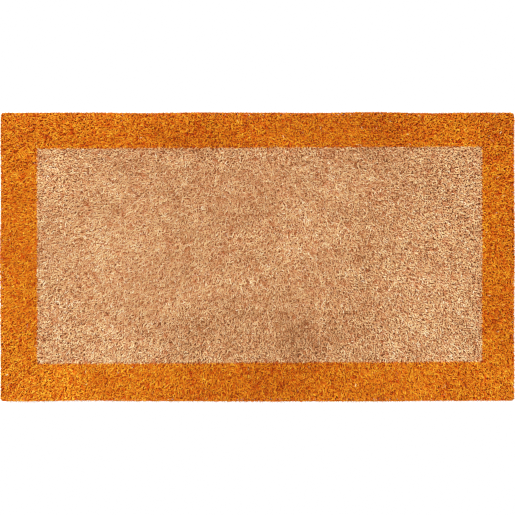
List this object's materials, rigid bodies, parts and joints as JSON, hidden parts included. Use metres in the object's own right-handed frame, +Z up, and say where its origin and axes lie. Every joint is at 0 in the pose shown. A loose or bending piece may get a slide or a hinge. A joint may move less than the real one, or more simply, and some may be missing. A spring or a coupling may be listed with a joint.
{
  "type": "door mat",
  "caption": "Rectangular hand-woven coir door mat: brush pile with a dyed orange border on a woven base with a plaited braid sewn round its edge.",
  "frame": {"origin": "centre of the mat's underside, on the floor", "axes": "+X along the mat's length, to the right as seen from the front; +Y across its width, to the back; +Z up, out of the pile"},
  "size_m": [0.762, 0.428, 0.025],
  "materials": {
    "coir_pile_natural": "undyed coir brush pile, cut ends, matt",
    "coir_pile_dyed": "coir brush pile dyed orange, cut ends, matt",
    "coir_chain": "two-ply coir yarn, matt",
    "coir_weft": "two-ply coir yarn, matt",
    "coir_braid": "plaited coir yarn, matt",
    "sewing_twine": "tarred coir twine, slight sheen"
  },
  "bodies": {
    "root": {"chain_yarn_01": "coir_chain", "chain_yarn_02": "coir_chain", "chain_yarn_03": "coir_chain", "chain_yarn_04": "coir_chain", "chain_yarn_05": "coir_chain", "chain_yarn_06": "coir_chain", "chain_yarn_07": "coir_chain", "chain_yarn_08": "coir_chain", "chain_yarn_09": "coir_chain", "chain_yarn_10": "coir_chain", "chain_yarn_11": "coir_chain", "chain_yarn_12": "coir_chain", "chain_yarn_13": "coir_chain", "chain_yarn_14": "coir_chain", "chain_yarn_15": "coir_chain", "chain_yarn_16": "coir_chain", "weft_yarn": "coir_weft", "edge_braid_front": "coir_braid", "edge_braid_back": "coir_braid", "edge_braid_left": "coir_braid", "edge_braid_right": "coir_braid", "sewing_twine_front": "sewing_twine", "sewing_twine_back": "sewing_twine", "sewing_twine_left": "sewing_twine", "sewing_twine_right": "sewing_twine", "pile_field": "coir_pile_natural", "pile_border_front": "coir_pile_dyed", "pile_border_back": "coir_pile_dyed", "pile_border_left": "coir_pile_dyed", "pile_border_right": "coir_pile_dyed"}
  },
  "joints": []
}
